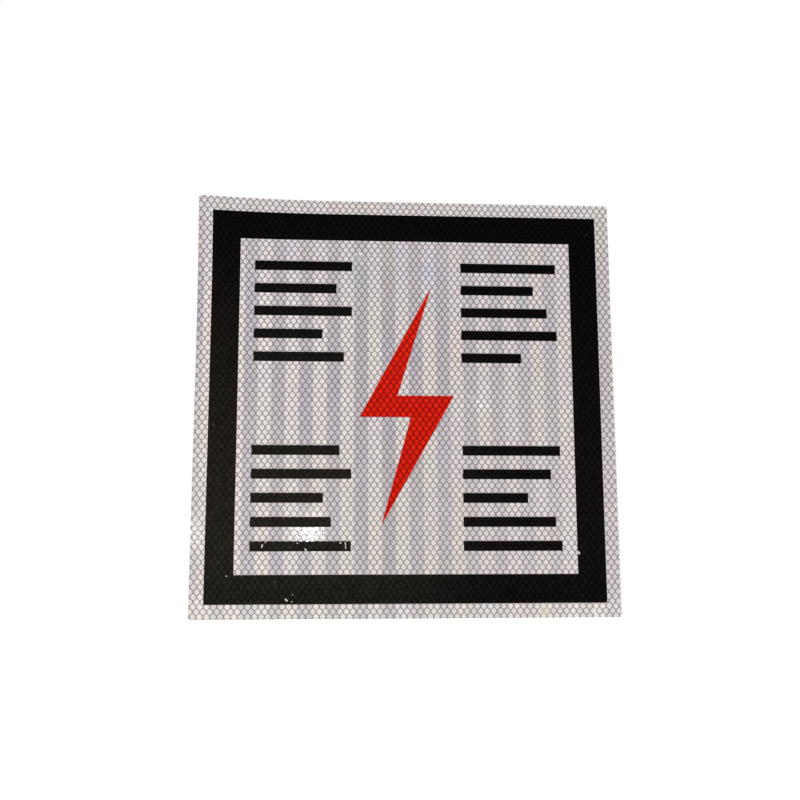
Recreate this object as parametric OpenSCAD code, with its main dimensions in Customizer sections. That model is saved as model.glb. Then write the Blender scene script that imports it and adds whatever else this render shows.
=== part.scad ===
// High voltage warning sign: a square aluminium plate, faced edge to edge with white
// prismatic reflective sheeting. On the sheeting are printed a black border, a red
// lightning bolt and four blocks of plain black lines. The upper left corner has been
// bent forward a little, and sheeting and print have bent with it.
//
// The sign stands upright and faces -Y, with +Z up. The origin is the centre of its bare
// back, the flat face that goes against a wall, a door or a post's clips.

/* [Plate] */
// Side of the square sign
sign_size = 300; // [280:5:400]
// Thickness of the aluminium plate
plate_t = 1.5; // [0.8:0.1:4]
// Radius of the sign's corners, cut through plate and sheeting together
corner_r = 2; // [0.5:0.5:9]

/* [Bent corner] */
// How far forward the tip of the upper left corner has been bent
corner_lift = 8; // [1:0.5:12]
// How far from the tip the bend starts, along the sign's diagonal
bend_reach = 75; // [40:5:100]

/* [Sheeting] */
// Thickness of the reflective sheeting
sheet_t = 0.4; // [0.2:0.05:1]

/* [Black border] */
// White margin left between the sign's edge and the border
margin = 10; // [4:1:14]
// Width of the border
border_w = 20; // [8:1:24]

/* [Lightning bolt] */
// Height of the bolt from tip to tip
bolt_h = 172.5; // [120:0.5:190]
// How far the upper tip stands to the right of the lower one
bolt_lean = 36.5; // [10:0.5:50]
// Width of the bolt from shoulder to shoulder
bolt_w = 67.5; // [50:0.5:72]
// Height of the step between the two shoulders
bolt_step = 15.5; // [8:0.5:24]
// How far the step's middle lies below the middle of the sign
bolt_drop = 2; // [0:0.5:8]
// How far apart the two inner corners stand, measured across
bolt_waist = 9.5; // [4:0.5:20]
// How far the waist's middle lies to the left of the middle of the sign
waist_shift = 2; // [0:0.5:6]

/* [Line blocks] */
// Width of each block, which its longest lines fill
block_w = 70; // [40:1:72]
// Height of each block
block_h = 74; // [50:1:76]
// Height of one line
line_h = 7; // [3:0.5:10]
// Gap from the border to a block at the side
side_gap = 10.5; // [4:0.5:14]
// Gap from the border to a block above or below
end_gap = 16; // [4:0.5:20]

/* [Print] */
// Thickness of the printed film on the sheeting
film_t = 0.1; // [0.05:0.05:0.3]

/* [Hidden] */
$fn = 48;

// Each layer lies on the one behind it, counted forward from the bare back
sheet_back = plate_t;
print_back = sheet_back + sheet_t;

// The bend's section runs along the diagonal, counted from the middle of the sign
tip_reach = sign_size / sqrt(2);
bend_start = tip_reach - bend_reach;
bend_steps = 12;

// The border's two squares, and the white field that it frames
border_size = sign_size - 2 * margin;
field_size = border_size - 2 * border_w;

// Middle of a block, from the middle of the sign
block_x = field_size / 2 - side_gap - block_w / 2;
block_z = field_size / 2 - end_gap - block_h / 2;

// Length of each line as a share of its block's width, from the top line down
upper_left_shares = [1.00, 0.84, 1.00, 0.70, 0.92];
upper_right_shares = [1.00, 0.76, 0.90, 1.00, 0.62];
lower_left_shares = [0.88, 1.00, 0.72, 0.80, 1.00];
lower_right_shares = [1.00, 0.90, 0.66, 0.94, 1.00];

// Height of the bolt's two shoulders, and its six corners, clockwise from the upper tip
upper_shoulder = bolt_step / 2 - bolt_drop;
lower_shoulder = -bolt_step / 2 - bolt_drop;
bolt_corners = [
    [bolt_lean / 2, bolt_h / 2],
    [bolt_waist / -2 - waist_shift, upper_shoulder],
    [bolt_w / 2, upper_shoulder],
    [bolt_lean / -2, bolt_h / -2],
    [bolt_waist / 2 - waist_shift, lower_shoulder],
    [bolt_w / -2, lower_shoulder]
];

// The bent part of a surface that lies this far in front of the bare back elsewhere: it
// leaves the flat with no kink and rises with the square of the way to the tip.
function bent(depth) = [
    for (i = [0 : bend_steps])
        [bend_start + bend_reach * i / bend_steps, depth + corner_lift * pow(i / bend_steps, 2)]
];

// The section of a layer along the diagonal, from the lower right corner to the bent tip
function section(back, front) = concat(
    [[-tip_reach, front], [-tip_reach, back]],
    bent(back),
    [for (i = [bend_steps : -1 : 0]) bent(front)[i]]
);

// An outline, drawn as seen from the front, cut out of a layer of thickness t that bends
// with the corner. The layer's back lies back_y in front of the sign's bare back.
module layer(back_y, t) {
    intersection() {
        rotate([90, 0, 0]) linear_extrude(height = sign_size, center = true) children();
        rotate([180, 225, 0]) linear_extrude(height = 2 * sign_size, center = true)
            polygon(section(back_y, back_y + t));
    }
}

// The square that plate and sheeting are cut to, with its four round corners
module sign_outline() {
    straight = sign_size - 2 * corner_r;
    square([sign_size, straight], center = true);
    square([straight, sign_size], center = true);
    for (x = [-1, 1], z = [-1, 1])
        translate([x, z] * straight / 2) circle(r = corner_r);
}

// One block of lines, flush at the left and ragged at the right, as set text is.
// side and end are 1 or -1: right or left of the bolt, above or below its middle.
module line_block(side, end, shares) {
    pitch = (block_h - line_h) / (len(shares) - 1);
    layer(print_back, film_t)
        translate([side * block_x - block_w / 2, end * block_z + block_h / 2 - line_h])
            for (i = [0 : len(shares) - 1])
                translate([0, -i * pitch]) square([block_w * shares[i], line_h]);
}

module backing_plate() {
    color("#b9bbbe") layer(0, plate_t) sign_outline();
}

module reflective_sheet() {
    color("#dcd6d2") layer(sheet_back, sheet_t) sign_outline();
}

module black_border() {
    color("#0f0e0c") layer(print_back, film_t) difference() {
        square(border_size, center = true);
        square(field_size, center = true);
    }
}

module lightning_bolt() {
    color("#e0210a") layer(print_back, film_t) polygon(bolt_corners);
}

module upper_left_lines() {
    color("#15130f") line_block(-1, 1, upper_left_shares);
}

module upper_right_lines() {
    color("#15130f") line_block(1, 1, upper_right_shares);
}

module lower_left_lines() {
    color("#15130f") line_block(-1, -1, lower_left_shares);
}

module lower_right_lines() {
    color("#15130f") line_block(1, -1, lower_right_shares);
}

backing_plate();
reflective_sheet();
black_border();
lightning_bolt();
upper_left_lines();
upper_right_lines();
lower_left_lines();
lower_right_lines();
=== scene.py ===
import math
import random

import bmesh
import bpy
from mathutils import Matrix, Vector


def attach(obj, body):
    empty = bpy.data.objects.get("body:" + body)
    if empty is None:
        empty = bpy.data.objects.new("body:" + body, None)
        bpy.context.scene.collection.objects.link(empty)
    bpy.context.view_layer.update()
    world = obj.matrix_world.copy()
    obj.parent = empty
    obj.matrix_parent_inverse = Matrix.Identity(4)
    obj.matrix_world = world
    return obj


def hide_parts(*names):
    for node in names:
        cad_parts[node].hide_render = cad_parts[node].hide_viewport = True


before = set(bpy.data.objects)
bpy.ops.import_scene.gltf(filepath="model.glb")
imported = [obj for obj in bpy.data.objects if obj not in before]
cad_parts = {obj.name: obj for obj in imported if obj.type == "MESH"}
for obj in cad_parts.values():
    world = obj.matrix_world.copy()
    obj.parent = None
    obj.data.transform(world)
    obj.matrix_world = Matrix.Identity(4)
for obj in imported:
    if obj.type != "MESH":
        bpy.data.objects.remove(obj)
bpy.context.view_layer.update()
mm = 0.001


# Backing plate: a square of plain rolled aluminium, sheared to size, with its corners
# rounded and its edges lightly deburred. The sheeting is rolled on over its face, and the
# bare back goes against the wall. It is the solid of the frame itself, with a finish added.

def wire(tree, socket, value):
    """Sets a node's input to a number or a colour, or joins another node's output to it."""
    if isinstance(value, bpy.types.NodeSocket):
        tree.links.new(value, socket)
    else:
        socket.default_value = value


def maths(tree, operation, *values):
    """One step of reckoning with numbers, or with other nodes' outputs."""
    node = tree.nodes.new("ShaderNodeMath")
    node.operation = operation
    for socket, value in zip(node.inputs, values):
        wire(tree, socket, value)
    return node.outputs["Value"]


def ease(tree, value, low, high):
    """0 where value is below low and 1 where it is above high, smoothly in between."""
    node = tree.nodes.new("ShaderNodeMapRange")
    node.interpolation_type = "SMOOTHSTEP"
    wire(tree, node.inputs["Value"], value)
    wire(tree, node.inputs["From Min"], low)
    wire(tree, node.inputs["From Max"], high)
    return node.outputs["Result"]


def between(tree, share, first, second):
    """The first number where share is 0 and the second where it is 1."""
    return maths(tree, "MULTIPLY_ADD", share, second - first, first)


def blend(tree, share, first, second):
    """The first colour where share is 0 and the second where it is 1."""
    node = tree.nodes.new("ShaderNodeMix")
    node.data_type = "RGBA"
    wire(tree, node.inputs[0], share)
    wire(tree, node.inputs[6], first)
    wire(tree, node.inputs[7], second)
    return node.outputs[2]


def colour(red, green, blue):
    """A colour as a paint chart gives it, 0 to 255, in the scene's own linear numbers."""
    shares = [part / 255 for part in (red, green, blue)]
    return [s / 12.92 if s < 0.04045 else ((s + 0.055) / 1.055) ** 2.4 for s in shares] + [1]


def place(tree):
    """Where a point lies on the sign, in metres: across, in depth and up."""
    return tree.nodes.new("ShaderNodeTexCoord").outputs["Object"]


def vectors(tree, operation, first, second=(0, 0, 0)):
    """The same as maths, for directions and colours. To scale one, second is a number."""
    node = tree.nodes.new("ShaderNodeVectorMath")
    node.operation = operation
    wire(tree, node.inputs[0], first)
    wire(tree, node.inputs["Scale" if operation == "SCALE" else 1], second)
    return node.outputs["Value" if operation in ("LENGTH", "DOT_PRODUCT") else "Vector"]


def stretched(tree, where, across, deep, up):
    """The place with each of its three directions drawn out or pressed together."""
    return vectors(tree, "MULTIPLY", where, (across, deep, up))


def noise(tree, where, scale, detail):
    """A cloudy pattern from 0 to 1, finer for a larger scale and rougher for more detail."""
    node = tree.nodes.new("ShaderNodeTexNoise")
    wire(tree, node.inputs["Vector"], where)
    node.inputs["Scale"].default_value = scale
    node.inputs["Detail"].default_value = detail
    return node.outputs["Fac"]


def raised(tree, shader, height, distance):
    """Gives a shader fine relief: a height from 0 to 1 stands up by distance, in metres."""
    node = tree.nodes.new("ShaderNodeBump")
    wire(tree, node.inputs["Height"], height)
    node.inputs["Distance"].default_value = distance
    wire(tree, shader.inputs["Normal"], node.outputs["Normal"])


def new_finish(name):
    """A new material, the tree of its nodes, and its main shader."""
    material = bpy.data.materials.new(name)
    material.use_nodes = True
    tree = material.node_tree
    return material, tree, tree.nodes["Principled BSDF"]


def mill_finish():
    """Plain rolled aluminium: long fine lines from the rolls, dull patches and hair scratches."""
    material, tree, shader = new_finish("mill_aluminium")
    where = place(tree)
    lines = noise(tree, stretched(tree, where, 6, 6, 1500), 1.0, 4)
    streaks = noise(tree, stretched(tree, where, 2, 2, 90), 1.0, 2)
    patches = noise(tree, where, 14, 3)
    hairs = ease(tree, noise(tree, stretched(tree, where, 30, 30, 2600), 1.0, 2), 0.66, 0.74)
    grain = maths(tree, "ADD", maths(tree, "MULTIPLY", lines, 0.55), maths(tree, "MULTIPLY", streaks, 0.45))
    tone = blend(tree, ease(tree, grain, 0.3, 0.7), colour(164, 166, 169), colour(194, 195, 197))
    dull = maths(tree, "MULTIPLY", ease(tree, patches, 0.45, 0.75), 0.35)
    wire(tree, shader.inputs["Base Color"], blend(tree, dull, tone, colour(150, 152, 156)))
    shader.inputs["Metallic"].default_value = 1.0
    rough = maths(tree, "ADD", 0.3, maths(tree, "MULTIPLY", patches, 0.16))
    wire(tree, shader.inputs["Roughness"], maths(tree, "ADD", rough, maths(tree, "MULTIPLY", lines, 0.08)))
    raised(tree, shader, maths(tree, "ADD", lines, maths(tree, "MULTIPLY", hairs, -0.5)), 0.02 * mm)
    return material


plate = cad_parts["backing_plate"]
plate.data.materials.clear()
plate.data.materials.append(mill_finish())


# Reflective sheeting: clear-faced white prismatic film, stuck over the whole plate and cut
# flush with it. Its face is sealed to its back along a net of thin six-sided walls, so each
# cell stands up a little between the seals, and the prisms are moulded in upright bands.

# The net of cells, in millimetres: how wide a cell is, how far apart the rows lie, how long a
# cell's upright sides are, how far its tips lie from its middle, and where one middle lies
cell_width = 4.648
row_pitch = 3.349
side_wall = 1.4
cell_tip = row_pitch - side_wall / 2
cell_middle = (-0.09, 2.23)
sheeting_turn = math.radians(-0.157)
seal_width = 0.7
seal_depth = 0.04

# The bands, in millimetres: one cream and one grey take up a pitch
band_pitch = 19.6
band_middle = -3.25
band_lean = math.radians(0.18)

# How near, in millimetres, a point counts as on a cut, and a corner as on a face's edge
on_cut = 0.0001
on_edge = 0.001


def on_sign(across, up):
    """A step across and up the sheeting, which lies a hair askew, as one across and up the sign."""
    turn, rise = math.cos(sheeting_turn), math.sin(sheeting_turn)
    return (across * turn - up * rise, across * rise + up * turn)


def edges_of(corners):
    """Each corner of a ring with the next one."""
    return list(zip(corners, corners[1:] + corners[:1]))


def shape_cell():
    """One cell's faces, round its own middle: across, up and depth below its flat top."""
    half = cell_width / 2
    corners = [(half, -side_wall / 2), (half, side_wall / 2), (0, cell_tip),
               (-half, side_wall / 2), (-half, -side_wall / 2), (0, -cell_tip)]
    share = 1 - seal_width / cell_width
    low = [(*on_sign(across, up), seal_depth) for across, up in corners]
    top = [(*on_sign(across * share, up * share), 0.0) for across, up in corners]
    return [top] + [[*pair, *inner[::-1]] for pair, inner in zip(edges_of(low), edges_of(top))]


cell_faces = shape_cell()


def cut(shape, start, end):
    """Splits a shape by the line from start to end: what lies to its left, and to its right."""
    along = (end[0] - start[0], end[1] - start[1])
    length = math.hypot(*along)
    sides = [(along[0] * (p[1] - start[1]) - along[1] * (p[0] - start[0])) / length for p in shape]
    sides = [0.0 if abs(side) < on_cut else side for side in sides]
    left, right = [], []
    for (p, side), (q, other) in edges_of(list(zip(shape, sides))):
        if side >= 0:
            left.append(p)
        if side <= 0:
            right.append(p)
        if side * other < 0:
            share = side / (side - other)
            crossing = tuple(a + (b - a) * share for a, b in zip(p, q))
            left.append(crossing)
            right.append(crossing)
    return (left if any(side > 0 for side in sides) else [],
            right if any(side < 0 for side in sides) else [])


def boxes_meet(shape, other):
    """Whether two shapes come near enough to each other to overlap."""
    return all(min(p[i] for p in shape) < max(p[i] for p in other)
               and max(p[i] for p in shape) > min(p[i] for p in other) for i in (0, 1))


def with_corners(shape, corners):
    """The shape with each of these corners added that lies on one of its edges."""
    whole = []
    for p, q in edges_of(shape):
        whole.append(p)
        length = math.hypot(q[0] - p[0], q[1] - p[1])
        found = {}
        for c in corners:
            share = ((c[0] - p[0]) * (q[0] - p[0]) + (c[1] - p[1]) * (q[1] - p[1])) / length ** 2
            off = abs((c[0] - p[0]) * (q[1] - p[1]) - (c[1] - p[1]) * (q[0] - p[0])) / length
            if off < on_edge and on_edge < share * length < length - on_edge:
                found[round(share, 5)] = (c[0], c[1], p[2] + (q[2] - p[2]) * share)
        whole += [point for share, point in sorted(found.items())]
    return whole


def square_at(point, right=0, above=0):
    """The square of the sign that a point lies in, or one beside it. They are larger than a cell."""
    square_side = 6
    return point[0] // square_side + right, point[1] // square_side + above


def cover(parts, chips=()):
    """The cells over an area made of convex parts, less its chips, as faces in millimetres."""
    faces = []
    for part in parts:
        sides = edges_of(part)
        low = [min(p[i] for p in part) - cell_width for i in (0, 1)]
        high = [max(p[i] for p in part) + cell_width for i in (0, 1)]
        rows = int(max(map(abs, low + high)) / row_pitch) + 2
        for row in range(-rows, rows + 1):
            for column in range(-rows, rows + 1):
                across, up = on_sign((column + row % 2 / 2) * cell_width, row * row_pitch)
                x, z = across + cell_middle[0], up + cell_middle[1]
                if not (low[0] < x < high[0] and low[1] < z < high[1]):
                    continue
                cell = [[(x + a, z + b, depth) for a, b, depth in face] for face in cell_faces]
                outline = [face[0] for face in cell[1:]]
                crossed = [side for side in sides if cut(outline, *side)[1]]
                for shape in cell:
                    for side in crossed:
                        shape = shape and cut(shape, *side)[0]
                    if shape:
                        faces.append(shape)
    corners = [corner for part in parts for corner in part]
    for chip in chips:
        kept = []
        for shape in faces:
            if not boxes_meet(shape, chip):
                kept.append(shape)
                continue
            for side in edges_of(chip):
                shape, outside = cut(shape, *side)
                if outside:
                    kept.append(outside)
                    corners += outside
                if not shape:
                    break
        faces = kept
    near = {}
    for corner in corners:
        near.setdefault(square_at(corner), []).append(corner)
    whole = []
    for shape in faces:
        squares = [square_at(shape[0], right, above) for right in (-1, 0, 1) for above in (-1, 0, 1)]
        found = [corner for square in squares for corner in near.get(square, ())]
        whole.append(with_corners(shape, found))
    return whole


def depths(node):
    """The front and back of a frame node in millimetres, at its right end, where the sign is flat."""
    corners = [v.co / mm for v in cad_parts[node].data.vertices]
    right = max(c.x for c in corners)
    end_width = 0.01
    ends = [c.y for c in corners if c.x > right - end_width]
    return min(ends), max(ends)


def find_folds():
    """Where the bent corner's facets meet, along the diagonal, and how far forward each fold lies."""
    flat = depths("reflective_sheet")[1]
    lifts = {}
    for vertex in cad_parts["reflective_sheet"].data.vertices:
        along = round((vertex.co.z - vertex.co.x) / mm / math.sqrt(2), 2)
        lift = flat - vertex.co.y / mm
        lifts[along] = min(lifts.get(along, lift), lift)
    lines = sorted(lifts.items())
    least_lift, narrowest_facet = 0.01, 5
    found = [max(line for line in lines if line[1] < least_lift)]
    for line in lines:
        if line[0] > found[-1][0] + narrowest_facet:
            found.append(line)
    return found


folds = find_folds()


def lift_at(x, z):
    """How far the bend brings this place on the sign forward, in millimetres."""
    along = (z - x) / math.sqrt(2)
    if along <= folds[0][0]:
        return 0.0
    for (start, low), (end, high) in zip(folds, folds[1:]):
        if along <= end or end == folds[-1][0]:
            return low + (high - low) * (along - start) / (end - start)


def bend(shape):
    """Creases a flat layer where the sign's corner is creased, and brings the corner forward."""
    for along, _ in folds[:-1]:
        step = along / math.sqrt(2)
        bmesh.ops.bisect_plane(shape, geom=shape.verts[:] + shape.edges[:] + shape.faces[:], dist=on_edge,
                               plane_co=(-step, 0, step), plane_no=(-1, 0, 1))
    for vertex in shape.verts:
        vertex.co.y -= lift_at(vertex.co.x, vertex.co.z)


def map_for_paint(shape):
    """A flat map of the layer, 1 wide and 1 high. Its face fills most of it. The back, the level
    edges and the upright edges lie in strips below."""
    layer = shape.loops.layers.uv.new("OFBake")
    map_edge = 0.005
    low = [min(v.co[i] for v in shape.verts) for i in (0, 1, 2)]
    reach = [max(v.co[i] for v in shape.verts) - low[i] for i in (0, 1, 2)]
    for face in shape.faces:
        in_front, behind = face.normal.y < -0.5, face.normal.y > 0.5
        level = abs(face.normal.z) > abs(face.normal.x)
        for loop in face.loops:
            across, deep, up = [(loop.vert.co[i] - low[i]) / reach[i] for i in (0, 1, 2)]
            if in_front:
                along, share, start, height = across, up, 0.06, 0.93
            elif behind:
                along, share, start, height = across, up, 0.005, 0.015
            elif level:
                along, share, start, height = across, deep, 0.025, 0.01
            else:
                along, share, start, height = up, deep, 0.04, 0.01
            loop[layer].uv = (map_edge + (1 - 2 * map_edge) * along, start + height * share)


def skin(name, faces, front, back):
    """A closed layer with these faces in front. front and back are its depths in millimetres."""
    mesh = bpy.data.meshes.new(name)
    shape = bmesh.new()
    corners = {}
    for face in faces:
        ring = []
        for x, z, depth in face:
            key = (round(x, 2), round(z, 2))
            if key not in corners:
                corners[key] = shape.verts.new((x, front + depth, z))
            if corners[key] not in ring:
                ring.append(corners[key])
        if len(ring) > 2 and shape.faces.get(ring) is None:
            shape.faces.new(ring).smooth = True
    rim = [edge for edge in shape.edges if len(edge.link_faces) == 1]
    behind = {}
    for edge in rim:
        edge.smooth = False
        for corner in edge.verts:
            if corner not in behind:
                behind[corner] = shape.verts.new((corner.co.x, back, corner.co.z))
    for edge in rim:
        loop = edge.link_loops[0]
        first, second = loop.vert, loop.link_loop_next.vert
        shape.faces.new((second, first, behind[first], behind[second]))
    back_edges = [shape.edges.get((behind[edge.verts[0]], behind[edge.verts[1]])) for edge in rim]
    bmesh.ops.triangle_fill(shape, edges=back_edges, use_beauty=True)
    shape.normal_update()
    map_for_paint(shape)
    bend(shape)
    bmesh.ops.scale(shape, vec=(mm, mm, mm), verts=shape.verts)
    shape.to_mesh(mesh)
    shape.free()
    piece = bpy.data.objects.new(name, mesh)
    bpy.context.scene.collection.objects.link(piece)
    flat_tops = piece.modifiers.new("flat_tops", "WEIGHTED_NORMAL")
    flat_tops.keep_sharp = True
    flat_tops.weight = 100
    return piece


def seen_from_front(node):
    """The corners of a frame node as seen from the front, in millimetres, each once."""
    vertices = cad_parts[node].data.vertices
    return sorted({(round(v.co.x / mm, 3), round(v.co.z / mm, 3)) for v in vertices})


def outline_of(node):
    """The outline round a frame node's middle, less the points where a fold only crosses an edge."""
    straight = 0.004
    points = sorted(seen_from_front(node), key=lambda p: math.atan2(p[1], p[0]))
    corners = []
    for before, point, after in zip(points[-1:] + points, points, points[1:] + points[:1]):
        along = (after[0] - before[0], after[1] - before[1])
        off = abs(along[0] * (point[1] - before[1]) - along[1] * (point[0] - before[0])) / math.hypot(*along)
        if off > straight:
            corners.append(point)
    return corners


def seals(tree, where):
    """How near the seals round its cell a point is, 0 in the middle and 0.5 on one, and the cell's number."""
    turn, rise = math.cos(sheeting_turn), math.sin(sheeting_turn)
    roundness = 5
    steps = []
    for along, pitch in (((turn, 0, rise), cell_width), ((-rise, 0, turn), 2 * row_pitch)):
        start = (along[0] * cell_middle[0] + along[2] * cell_middle[1]) / pitch
        reached = vectors(tree, "DOT_PRODUCT", where, Vector(along) / (pitch * mm))
        steps.append(maths(tree, "SUBTRACT", reached, start))
    nears, numbers = [], []
    for shift in (0.0, 0.5):
        counts, offs = [], []
        for step in steps:
            count = maths(tree, "SUBTRACT", maths(tree, "ROUND", maths(tree, "ADD", step, shift)), shift)
            counts.append(count)
            offs.append(maths(tree, "ABSOLUTE", maths(tree, "SUBTRACT", step, count)))
        slope = maths(tree, "ADD", maths(tree, "MULTIPLY", offs[0], 1 - side_wall / 2 / cell_tip),
                      maths(tree, "MULTIPLY", offs[1], row_pitch / cell_tip))
        both = maths(tree, "ADD", maths(tree, "POWER", offs[0], roundness),
                     maths(tree, "POWER", slope, roundness))
        nears.append(maths(tree, "POWER", both, 1 / roundness))
        numbers.append(counts)
    first = maths(tree, "LESS_THAN", nears[0], nears[1])
    number = tree.nodes.new("ShaderNodeCombineXYZ")
    for socket, one, other in zip(number.inputs, *numbers):
        change = maths(tree, "MULTIPLY", first, maths(tree, "SUBTRACT", one, other))
        wire(tree, socket, maths(tree, "ADD", other, change))
    return maths(tree, "MINIMUM", nears[0], nears[1]), number.outputs["Vector"]


def chance(tree, number):
    """A steady random number from 0 to 1 for each cell, and a random colour."""
    node = tree.nodes.new("ShaderNodeTexWhiteNoise")
    node.noise_dimensions = "3D"
    wire(tree, node.inputs["Vector"], number)
    return node.outputs["Value"], node.outputs["Color"]


def split(tree, vector):
    """The three parts of a direction or a colour."""
    node = tree.nodes.new("ShaderNodeSeparateXYZ")
    wire(tree, node.inputs[0], vector)
    return node.outputs[:]


def product(tree, first, *others):
    """Numbers, or other nodes' outputs, multiplied together."""
    for other in others:
        first = maths(tree, "MULTIPLY", first, other)
    return first


# Marks of use and painted highlights: a scuff with its grey streak, three painted glints and a
# scratch by the bolt, painted as a bright streak of glint, a nick and warm cells at the bottom
# edge, and a brown spot on the left edge. For each: its place, half width and half height in
# millimetres, its lean in degrees, its strength and its colour
marks_and_painted_glints = [
    (-33.8, 110.2, 0.9, 1.2, 20, 1.0, colour(250, 250, 248)),
    (-34.2, 106.4, 3.2, 4.6, 35, 0.4, colour(172, 169, 166)),
    # Three painted glints: white spots painted where a lamp's highlight shines in the clear face
    (50.4, 1.5, 0.9, 0.8, 0, 0.9, colour(250, 250, 250)),
    (53.0, -1.2, 1.4, 0.9, 30, 1.0, colour(250, 250, 252)),
    (57.1, -1.2, 0.8, 0.9, 0, 0.7, colour(246, 244, 246)),
    # A scratch, painted as the bright streak of a glint along it
    (46.4, 4.8, 4.6, 0.5, 30, 0.35, colour(246, 244, 246)),
    (131.1, -146.0, 0.6, 3.2, 0, 0.9, colour(248, 246, 244)),
    (95.4, -144.8, 4.6, 4.2, 0, 0.5, colour(222, 206, 186)),
    (-149.6, -87.3, 0.9, 1.2, 0, 0.8, colour(140, 122, 96)),
]


def prismatic_sheeting():
    """White prisms behind a clear face: cream and cool grey bands, dark seals, a little sparkle."""
    material, tree, shader = new_finish("prismatic_sheeting")
    where = place(tree)
    near, cell = seals(tree, where)
    across, _, up = split(tree, where)

    # Bands: half of each pitch is cream and half grey. They are plainest above the middle on the
    # left, and fade towards the right, the bottom and the margins outside the black border
    margin_from, margin_to = 0.136, 0.14
    leaning = maths(tree, "ADD", across, maths(tree, "MULTIPLY", up, math.tan(band_lean)))
    start = maths(tree, "SUBTRACT", leaning, band_middle * mm)
    turns = maths(tree, "MULTIPLY", start, 2 * math.pi / (band_pitch * mm))
    grey = ease(tree, maths(tree, "COSINE", turns), 0.2, -0.2)
    right = ease(tree, across, -0.005, 0.06)
    slant = maths(tree, "MULTIPLY", maths(tree, "MINIMUM", across, 0), 0.2)
    high = ease(tree, maths(tree, "ADD", up, slant), 0.035, 0.115)
    left_margin = product(tree, ease(tree, across, -margin_from, -margin_to), ease(tree, up, 0.07, 0.02))
    top_margin = ease(tree, up, margin_from, margin_to)
    bottom_margin = ease(tree, up, -margin_from, -margin_to)
    drift = noise(tree, stretched(tree, where, 30, 1, 9), 1.0, 2)
    plain = product(
        tree, between(tree, ease(tree, up, -0.09, 0.07), 0.78, 1.16), between(tree, right, 1, 0.58),
        between(tree, ease(tree, up, 0.075, 0.12), 1, 0.72), between(tree, drift, 0.6, 1.4),
        between(tree, left_margin, 1, 0.5), between(tree, top_margin, 1, 0.35),
        between(tree, bottom_margin, 1, 0.65))
    light = blend(tree, right, colour(220, 212, 208), colour(216, 208, 207))
    light = blend(tree, high, light, blend(tree, right, colour(208, 201, 207), colour(209, 202, 205)))
    light = blend(tree, ease(tree, up, 0.118, 0.13), light, colour(211, 205, 204))
    light = blend(tree, left_margin, light, colour(217, 210, 205))
    light = blend(tree, ease(tree, up, -0.125, -0.14), light, colour(223, 217, 212))
    dark = blend(tree, high, colour(183, 177, 183), colour(189, 183, 183))
    face = blend(tree, product(tree, grey, plain), light, dark)

    # Each band drifts from ivory to lavender and pink along its way, and most near the top. Each
    # cell differs a little from its neighbours too, in tone and in hue
    lot, hues = chance(tree, cell)
    warm_lot, pink_lot, _ = split(tree, hues)
    band = maths(tree, "ROUND", maths(tree, "MULTIPLY", start, 2 / (band_pitch * mm)))
    drifts = []
    for step in (0.83, -0.71):
        place_in_band = tree.nodes.new("ShaderNodeCombineXYZ")
        wire(tree, place_in_band.inputs["X"], maths(tree, "MULTIPLY", band, step))
        wire(tree, place_in_band.inputs["Z"], maths(tree, "MULTIPLY", up, 20 * step))
        drifts.append(noise(tree, place_in_band.outputs["Vector"], 1.0, 2))
    drifting = between(tree, high, 1, 1.8)
    warmth = maths(tree, "ADD", between(tree, warm_lot, -0.02, 0.02),
                   product(tree, between(tree, drifts[0], -0.16, 0.16), drifting))
    pinkness = maths(tree, "ADD", between(tree, pink_lot, -0.01, 0.01),
                     product(tree, between(tree, drifts[1], -0.07, 0.07), drifting))
    tint = vectors(tree, "ADD", vectors(tree, "SCALE", (0.5, 0.05, -0.5), warmth),
                   vectors(tree, "SCALE", (0.4, -0.5, 0.3), pinkness))
    toned = vectors(tree, "MULTIPLY", face, vectors(tree, "ADD", tint, (1, 1, 1)))
    toned = vectors(tree, "SCALE", toned, between(tree, lot, 0.94, 1.03))

    # Painted light: both sides are a little brighter than the middle, and the right one most near the bottom,
    # as if lamps lit them more
    toned = vectors(tree, "SCALE", toned, between(tree, ease(tree, across, -0.02, -0.09), 1, 1.045))
    lift = between(tree, ease(tree, up, 0.02, -0.14), 0.05, 0.12)
    painted_side_light = maths(tree, "ADD", 1, product(tree, ease(tree, across, 0.05, 0.14), lift))
    toned = vectors(tree, "SCALE", toned, painted_side_light)

    seal = ease(tree, near, 0.373, 0.46)
    seal_shade = blend(tree, ease(tree, up, 0.12, -0.12), (0.29, 0.255, 0.262, 1), (0.37, 0.33, 0.335, 1))
    final = blend(tree, seal, toned, vectors(tree, "MULTIPLY", toned, seal_shade))
    # Each mark is painted into the colour; the white glints among them are painted highlights
    for x, z, half_width, half_height, lean, strength, shade in marks_and_painted_glints:
        spot = tree.nodes.new("ShaderNodeMapping")
        spot.vector_type = "TEXTURE"
        wire(tree, spot.inputs["Vector"], where)
        spot.inputs["Location"].default_value = (x * mm, 0, z * mm)
        spot.inputs["Rotation"].default_value = (0, math.radians(lean), 0)
        spot.inputs["Scale"].default_value = (half_width * mm, 1, half_height * mm)
        from_middle = vectors(tree, "LENGTH", spot.outputs["Vector"])
        there = product(tree, ease(tree, from_middle, 1.1, 0.6), strength)
        final = blend(tree, there, final, shade)
    wire(tree, shader.inputs["Base Color"], final)
    shader.inputs["Roughness"].default_value = 0.45
    shader.inputs["Coat Weight"].default_value = 1.0
    shader.inputs["Coat Roughness"].default_value = 0.065
    return material


sheeting = skin("reflective_sheeting", cover([outline_of("reflective_sheet")]), *depths("reflective_sheet"))
sheeting.data.materials.append(prismatic_sheeting())
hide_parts("reflective_sheet")
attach(sheeting, "root")


# Black print: opaque black ink, drawn through a printing screen onto the sheeting's face. It
# lies over the cells and follows them, so they show faintly in it. Handling has chipped it in
# a few places. The border is one ring, and each block is five plain lines.

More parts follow.
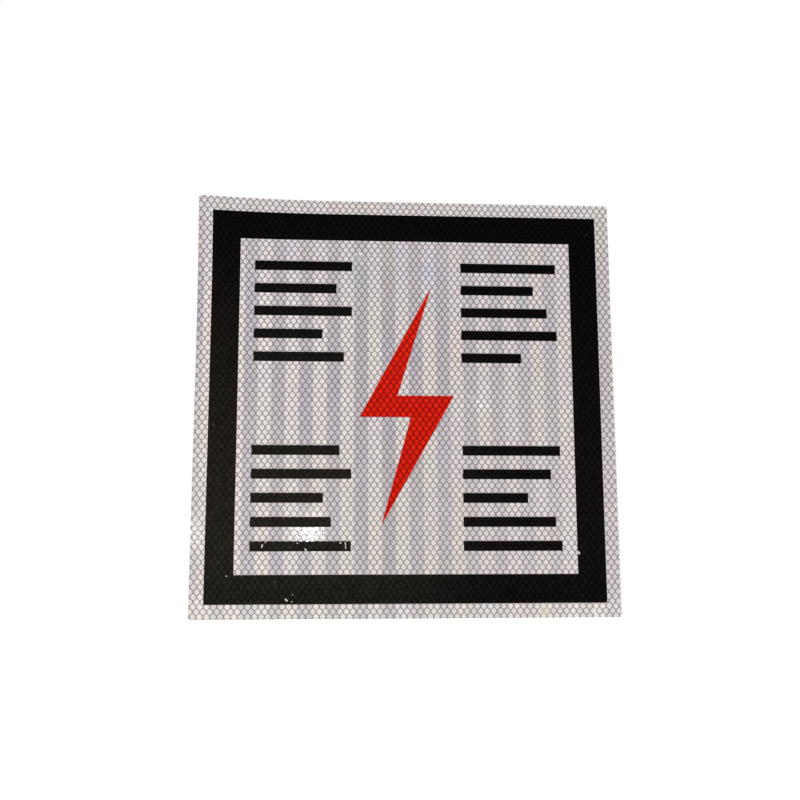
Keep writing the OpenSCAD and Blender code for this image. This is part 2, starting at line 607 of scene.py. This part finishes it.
def black_ink():
    """Opaque ink, deep black at the top and the right, and lighter and browner lower down, most on the left:
    a painted veil of glare.
    """
    material, tree, shader = new_finish("black_ink")
    where = place(tree)
    near, cell = seals(tree, where)
    lot, _ = chance(tree, cell)
    across, _, up = split(tree, where)
    # Painted light: a veil of glare that makes the ink lighter and browner lower down, most on the left
    painted_glare_veil = product(
        tree, ease(tree, up, 0.17, -0.13), between(tree, ease(tree, across, 0.07, -0.03), 0.24, 1),
        between(tree, ease(tree, up, -0.15, -0.1), 0.68, 1))
    over_cell = blend(tree, painted_glare_veil, colour(8, 8, 8), colour(39, 36, 31))
    over_seal = blend(tree, painted_glare_veil, colour(1, 1, 1), colour(26, 24, 21))
    face = blend(tree, ease(tree, near, 0.34, 0.45), over_cell, over_seal)
    grain = ease(tree, noise(tree, where, 900, 3), 0.3, 0.7)
    tone = maths(tree, "ADD", between(tree, lot, 0.3, 0.6), between(tree, grain, 0.3, 0.8))
    specks = tree.nodes.new("ShaderNodeTexVoronoi")
    wire(tree, specks.inputs["Vector"], where)
    specks.inputs["Scale"].default_value = 90
    chosen = maths(tree, "GREATER_THAN", specks.outputs["Color"], 0.8)
    speck = product(tree, ease(tree, specks.outputs["Distance"], 0.05, 0.02), chosen)
    face = blend(tree, speck, vectors(tree, "SCALE", face, tone), colour(66, 60, 50))
    wire(tree, shader.inputs["Base Color"], face)
    shader.inputs["Specular IOR Level"].default_value = 0.01
    shader.inputs["Roughness"].default_value = 0.45
    return material


ink = black_ink()
border_corners = seen_from_front("black_border")
outer = max(x for x, z in border_corners)
inner = min(max(abs(x), abs(z)) for x, z in border_corners)


def rectangle(left, bottom, right, top):
    """The four corners, anticlockwise."""
    return [(left, bottom), (right, bottom), (right, top), (left, top)]


luck = random.Random(4)


def chip(x, z, across, up, lean=0.0):
    """A ragged chip in the print, round x and z, in millimetres, leaning by degrees."""
    turn, rise = math.cos(math.radians(lean)), math.sin(math.radians(lean))
    corner_count, raggedness = 7, 0.25
    points = []
    for corner in range(corner_count):
        angle = 2 * math.pi * corner / corner_count + luck.uniform(-raggedness, raggedness)
        a, b = math.cos(angle) * across / 2, math.sin(angle) * up / 2
        points.append((x + a * turn - b * rise, z + a * rise + b * turn))
    return points


border_chips = [
    chip(-124.9, -120.6, 1.0, 1.0), chip(-83.6, -137.0, 2.9, 1.2, -45), chip(-79.8, -138.2, 1.2, 0.6),
    chip(-79.3, -133.6, 0.8, 0.8), chip(-91.5, -124.6, 0.6, 0.8), chip(120.9, -105.4, 1.8, 2.6, 20),
    chip(133.8, 127.8, 0.5, 0.45), chip(-136.4, -15.8, 0.5, 0.7),
]
border = skin("black_border_print", cover([
    rectangle(-outer, inner, outer, outer), rectangle(-outer, -outer, outer, -inner),
    rectangle(-outer, -inner, -inner, inner), rectangle(inner, -inner, outer, inner),
], border_chips), *depths("black_border"))
border.data.materials.append(ink)
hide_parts("black_border")
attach(border, "root")

block_chips = {
    "lower_left_lines": [
        chip(-100.8, -100.2, 1.1, 3.2, -15), chip(-98.6, -97.9, 0.9, 0.8), chip(-76.6, -98.4, 1.2, 1.2),
        chip(-70.9, -102.9, 1.1, 2.6, 25), chip(-46.7, -98.2, 1.3, 1.3), chip(-43.2, -100.0, 0.9, 5.5, 5),
    ],
}
for node in ("upper_left_lines", "upper_right_lines", "lower_left_lines", "lower_right_lines"):
    # A line's top and bottom have two corners each. A height found once is a fold across an end
    corners = seen_from_front(node)
    heights = [z for x, z in corners]
    levels = sorted({z for z in heights if heights.count(z) > 1})
    lines = []
    for bottom, top in zip(levels[::2], levels[1::2]):
        ends = [x for x, z in corners if z == bottom]
        lines.append(rectangle(min(ends), bottom, max(ends), top))
    block = skin(node + "_print", cover(lines, block_chips.get(node, ())), *depths(node))
    block.data.materials.append(ink)
    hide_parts(node)
    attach(block, "root")


# Lightning bolt: see-through red ink, printed like the black. The sheeting's cells glow
# through it, and its seals show as darker lines.

def red_ink():
    """Red ink with the cells behind it: brightest in a cell's middle, and dark over the seals."""
    material, tree, shader = new_finish("red_ink")
    near, cell = seals(tree, place(tree))
    lot, _ = chance(tree, cell)
    cells = blend(tree, lot, colour(207, 26, 6), colour(226, 34, 8))
    rounded = blend(tree, ease(tree, near, 0.22, 0.44), cells, colour(194, 19, 5))
    face = blend(tree, ease(tree, near, 0.41, 0.49), rounded, colour(112, 6, 3))
    wire(tree, shader.inputs["Base Color"], face)
    shader.inputs["Specular IOR Level"].default_value = 0.05
    shader.inputs["Roughness"].default_value = 0.4
    return material


# The bolt's six corners, from the lower tip up
bolt_corners = sorted(seen_from_front("lightning_bolt"), key=lambda corner: corner[1])
lower_tip, upper_tip = bolt_corners[0], bolt_corners[-1]
left_shoulder, lower_notch = sorted(bolt_corners[1:3])
upper_notch, right_shoulder = sorted(bolt_corners[3:5])


def along_edge(start, end, height):
    """The point at this height on the straight edge from start to end."""
    share = (height - start[1]) / (end[1] - start[1])
    return (start[0] + (end[0] - start[0]) * share, height)


left_step = along_edge(left_shoulder, upper_tip, upper_notch[1])
right_step = along_edge(lower_tip, right_shoulder, lower_notch[1])
bolt = skin("lightning_bolt_print", cover([
    [left_step, upper_notch, upper_tip],
    [left_shoulder, right_step, right_shoulder, left_step],
    [lower_notch, lower_tip, right_step],
]), *depths("lightning_bolt"))
bolt.data.materials.append(red_ink())
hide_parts("lightning_bolt")
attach(bolt, "root")


# The studio: a pale floor some way under the sign, white all round, and soft lamps. The
# camera stands a little left of the sign and below its middle, and looks up at it.

def white_to_the_eye(tree, lit, seen):
    """A strength that is lit for the light a surface gives, and seen where it is looked at."""
    path = tree.nodes.new("ShaderNodeLightPath")
    looked_at = path.outputs["Is Camera Ray"]
    for other in ("Is Glossy Ray", "Is Transmission Ray"):
        looked_at = maths(tree, "MAXIMUM", looked_at, path.outputs[other])
    return between(tree, looked_at, lit, seen)


scene = bpy.context.scene
scene.view_settings.view_transform = "Standard"
world = bpy.data.worlds.new("studio")
world.use_nodes = True
scene.world = world
sky = world.node_tree.nodes["Background"]
sky.inputs["Color"].default_value = (1, 1, 1, 1)
wire(world.node_tree, sky.inputs["Strength"], white_to_the_eye(world.node_tree, lit=0.62, seen=1.0))

floor_drop = 0.65
reach = 9
floor_mesh = bpy.data.meshes.new("floor")
floor_corners = [(x, y, -floor_drop) for x, y in rectangle(-reach, -reach, reach, reach)]
floor_mesh.from_pydata(floor_corners, [], [(0, 1, 2, 3)])
floor = bpy.data.objects.new("floor", floor_mesh)
scene.collection.objects.link(floor)
pale, tree, shader = new_finish("pale_floor")
shader.inputs["Base Color"].default_value = (0.85, 0.85, 0.85, 1)
shader.inputs["Roughness"].default_value = 0.8
shader.inputs["Emission Color"].default_value = (1, 1, 1, 1)
wire(tree, shader.inputs["Emission Strength"], white_to_the_eye(tree, lit=0.0, seen=0.55))
floor.data.materials.append(pale)


def soft_lamp(name, at, size, watts):
    """A round lamp at a place in metres, turned towards the middle of the sign's back."""
    data = bpy.data.lights.new(name, "AREA")
    data.shape = "DISK"
    data.size = size
    data.energy = watts
    lamp = bpy.data.objects.new(name, data)
    lamp.location = at
    lamp.rotation_euler = (-Vector(at)).to_track_quat("-Z", "Y").to_euler()
    scene.collection.objects.link(lamp)


soft_lamp("left_lamp", (-1.0, -1.0, -0.1), size=1.2, watts=6.5)
soft_lamp("upper_lamp", (0.2, -1.4, 1.35), size=1.0, watts=8.5)
soft_lamp("back_lamp", (-0.8, 1.5, 0.9), size=1.6, watts=6)

# Three small lamps glint in the clear face: low on the left, right of the bolt, and by the left edge
glints = ((-0.096, -0.062, 0.018, 0.105), (0.194, 0.159, 0.018, 0.006), (-0.294, -0.063, 0.03, 0.03))
for x, z, size, watts in glints:
    soft_lamp("glint_lamp", (x, -0.99, z), size, watts)

camera_data = bpy.data.cameras.new("camera")
camera_data.sensor_width = 36
camera_data.lens = 45
camera = bpy.data.objects.new("camera", camera_data)
camera.location = (-0.0495, -0.7047, -0.1102)
camera.rotation_euler = [math.radians(angle) for angle in (99.1, 0.17, -3.6)]
scene.collection.objects.link(camera)
scene.camera = camera
